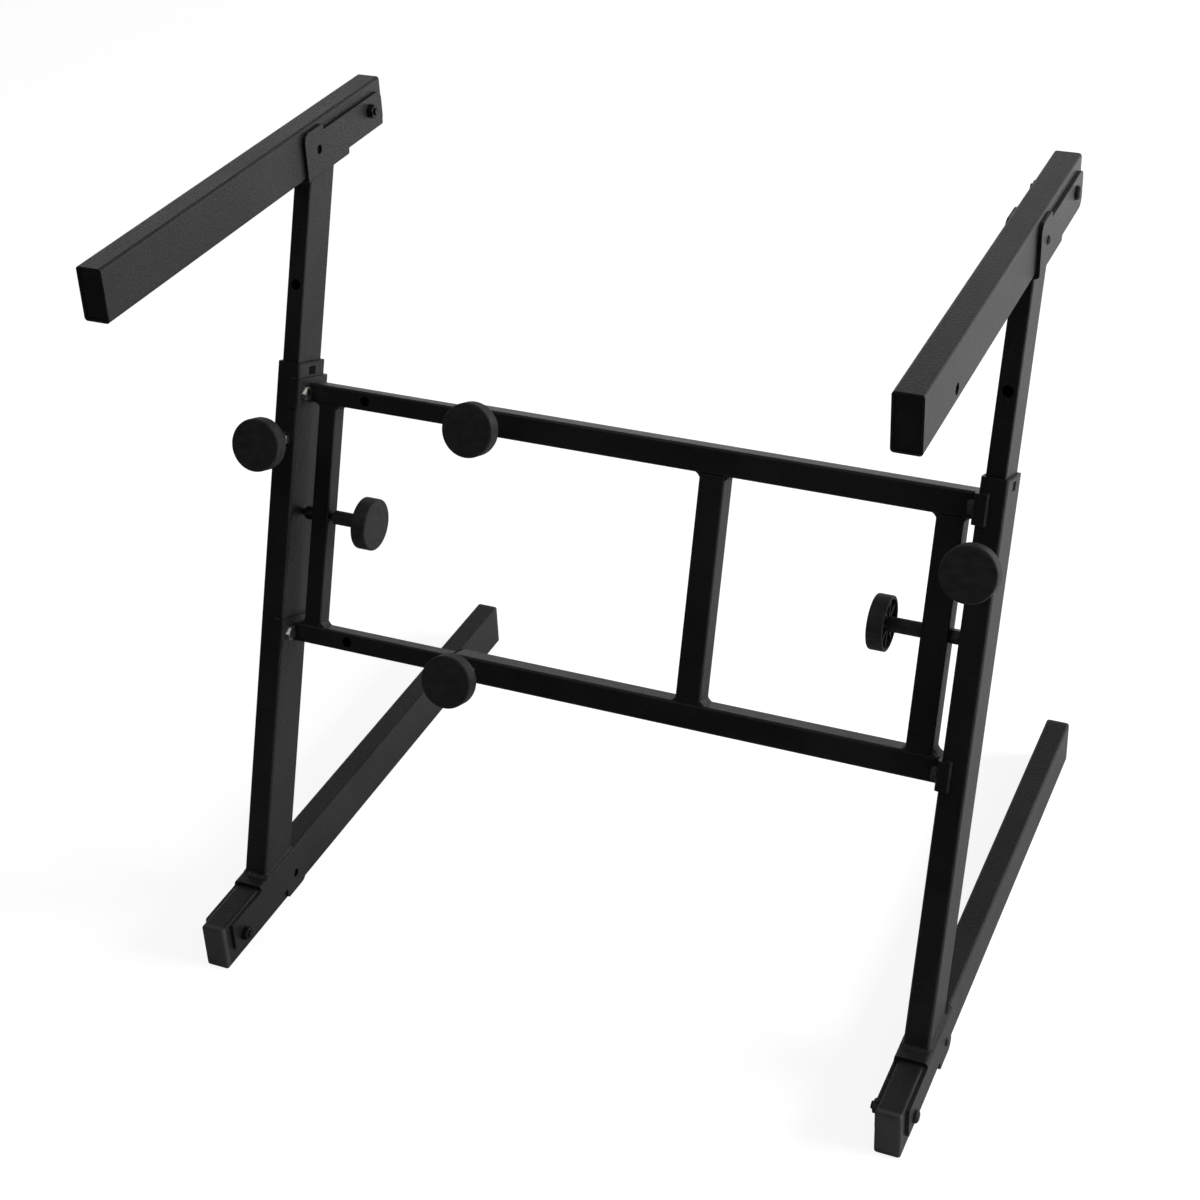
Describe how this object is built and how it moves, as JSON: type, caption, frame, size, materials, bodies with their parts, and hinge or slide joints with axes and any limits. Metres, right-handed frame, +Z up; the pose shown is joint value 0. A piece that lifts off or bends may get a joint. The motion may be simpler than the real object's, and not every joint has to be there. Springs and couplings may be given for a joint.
{
  "type": "keyboard stand",
  "caption": "Folding keyboard stand: two side frames of foot, leaning column, sliding mast and arm, joined by a telescoping ladder with clamp knobs.",
  "frame": {"origin": "on the floor, under the middle of the whole stand's box as it stands in use", "axes": "+Z up, +X along the keyboard to the stand's right, +Y to the back, where the columns lean"},
  "size_m": [0.6014, 0.5184, 0.6195],
  "materials": {
    "powder_coat": "semi-gloss black powder coat",
    "knob_plastic": "matte moulded black",
    "cap_plastic": "matte black end caps",
    "bushing_plastic": "smooth black guide bushings",
    "zinc": "bright zinc plate",
    "black_steel": "blackened steel rods, nuts, pivots and snap buttons",
    "spring_steel": "bare spring strip"
  },
  "bodies": {
    "right_side": {"right_column": "powder_coat", "right_column_bushing": "bushing_plastic", "right_foot_bracket": "powder_coat", "right_foot_pivot": "black_steel", "right_plates": "powder_coat", "right_plate_bolts": "zinc", "right_nuts": "zinc", "right_tie_nut": "black_steel", "outer_upper_bar": "powder_coat", "outer_lower_bar": "powder_coat", "bar_bushings": "bushing_plastic", "middle_post": "powder_coat", "right_post": "powder_coat"},
    "left_side": {"left_column": "powder_coat", "left_column_bushing": "bushing_plastic", "left_foot_bracket": "powder_coat", "left_foot_pivot": "black_steel", "left_plates": "powder_coat", "left_plate_bolts": "zinc", "left_nuts": "zinc", "left_tie_nut": "black_steel", "inner_upper_bar": "powder_coat", "inner_lower_bar": "powder_coat", "left_post": "powder_coat"},
    "right_mast": {"right_mast": "powder_coat", "right_mast_plug": "bushing_plastic", "right_arm_bracket": "powder_coat", "right_arm_pivot": "black_steel"},
    "right_arm": {"right_arm": "powder_coat", "right_arm_plugs": "bushing_plastic", "right_arm_spring": "spring_steel"},
    "right_foot": {"right_foot": "powder_coat", "right_foot_caps": "cap_plastic", "right_foot_spring": "spring_steel"},
    "right_arm_button": {"right_arm_button": "black_steel"},
    "right_foot_button": {"right_foot_button": "black_steel"},
    "right_height_knob": {"right_height_knob": "knob_plastic", "right_height_knob_rod": "zinc"},
    "right_tie_knob": {"right_tie_knob": "knob_plastic", "right_tie_knob_rod": "black_steel"},
    "left_mast": {"left_mast": "powder_coat", "left_mast_plug": "bushing_plastic", "left_arm_bracket": "powder_coat", "left_arm_pivot": "black_steel"},
    "left_arm": {"left_arm": "powder_coat", "left_arm_plugs": "bushing_plastic", "left_arm_spring": "spring_steel"},
    "left_foot": {"left_foot": "powder_coat", "left_foot_caps": "cap_plastic", "left_foot_spring": "spring_steel"},
    "left_arm_button": {"left_arm_button": "black_steel"},
    "left_foot_button": {"left_foot_button": "black_steel"},
    "left_height_knob": {"left_height_knob": "knob_plastic", "left_height_knob_rod": "zinc"},
    "left_tie_knob": {"left_tie_knob": "knob_plastic", "left_tie_knob_rod": "black_steel"},
    "upper_width_knob": {"upper_width_knob": "knob_plastic", "upper_width_knob_rod": "zinc"},
    "lower_width_knob": {"lower_width_knob": "knob_plastic", "lower_width_knob_rod": "zinc"}
  },
  "joints": [
    {"name": "width_slide", "type": "slide", "parent": "right_side", "child": "left_side", "axis": [-1, 0, 0], "range_m": [-0.111, 0.111]},
    {"name": "right_height_slide", "type": "slide", "parent": "right_side", "child": "right_mast", "axis": [0, 0.342, 0.9397], "range_m": [-0.121, 0.121]},
    {"name": "right_arm_fold", "type": "hinge", "parent": "right_mast", "child": "right_arm", "pos_m": [0.28, 0.10525, 0.5995], "axis": [-1, 0, 0], "range_deg": [0, 290]},
    {"name": "right_foot_fold", "type": "hinge", "parent": "right_side", "child": "right_foot", "pos_m": [0.28, -0.22335, 0.02], "axis": [-1, 0, 0], "range_deg": [0, 284]},
    {"name": "right_arm_button_press", "type": "slide", "parent": "right_arm", "child": "right_arm_button", "axis": [-1, 0, 0], "range_m": [0, 0.0044], "stiffness_N_per_m": 1200, "springref_m": -0.004, "deforming": ["right_arm_spring"]},
    {"name": "right_foot_button_press", "type": "slide", "parent": "right_foot", "child": "right_foot_button", "axis": [-1, 0, 0], "range_m": [0, 0.0044], "stiffness_N_per_m": 1200, "springref_m": -0.004, "deforming": ["right_foot_spring"]},
    {"name": "right_height_knob_turn", "type": "hinge", "parent": "right_side", "child": "right_height_knob", "pos_m": [0.28, -0.05587, 0.38648], "axis": [0, -0.9397, 0.342], "continuous": true},
    {"name": "right_tie_knob_turn", "type": "hinge", "parent": "right_side", "child": "right_tie_knob", "pos_m": [0.2502, -0.05756, 0.32335], "axis": [-1, 0, 0], "continuous": true},
    {"name": "left_height_slide", "type": "slide", "parent": "left_side", "child": "left_mast", "axis": [0, 0.342, 0.9397], "range_m": [-0.121, 0.121]},
    {"name": "left_arm_fold", "type": "hinge", "parent": "left_mast", "child": "left_arm", "pos_m": [-0.28, 0.10525, 0.5995], "axis": [-1, 0, 0], "range_deg": [0, 290]},
    {"name": "left_foot_fold", "type": "hinge", "parent": "left_side", "child": "left_foot", "pos_m": [-0.28, -0.22335, 0.02], "axis": [-1, 0, 0], "range_deg": [0, 284]},
    {"name": "left_arm_button_press", "type": "slide", "parent": "left_arm", "child": "left_arm_button", "axis": [1, 0, 0], "range_m": [0, 0.0044], "stiffness_N_per_m": 1200, "springref_m": -0.004, "deforming": ["left_arm_spring"]},
    {"name": "left_foot_button_press", "type": "slide", "parent": "left_foot", "child": "left_foot_button", "axis": [1, 0, 0], "range_m": [0, 0.0044], "stiffness_N_per_m": 1200, "springref_m": -0.004, "deforming": ["left_foot_spring"]},
    {"name": "left_height_knob_turn", "type": "hinge", "parent": "left_side", "child": "left_height_knob", "pos_m": [-0.28, -0.05587, 0.38648], "axis": [0, -0.9397, 0.342], "continuous": true},
    {"name": "left_tie_knob_turn", "type": "hinge", "parent": "left_side", "child": "left_tie_knob", "pos_m": [-0.2502, -0.05756, 0.32335], "axis": [1, 0, 0], "continuous": true},
    {"name": "upper_width_knob_turn", "type": "hinge", "parent": "right_side", "child": "upper_width_knob", "pos_m": [-0.107, -0.03368, 0.4182], "axis": [0, -0.9397, 0.342], "continuous": true},
    {"name": "lower_width_knob_turn", "type": "hinge", "parent": "right_side", "child": "lower_width_knob", "pos_m": [-0.107, -0.10024, 0.23534], "axis": [0, -0.9397, 0.342], "continuous": true}
  ]
}
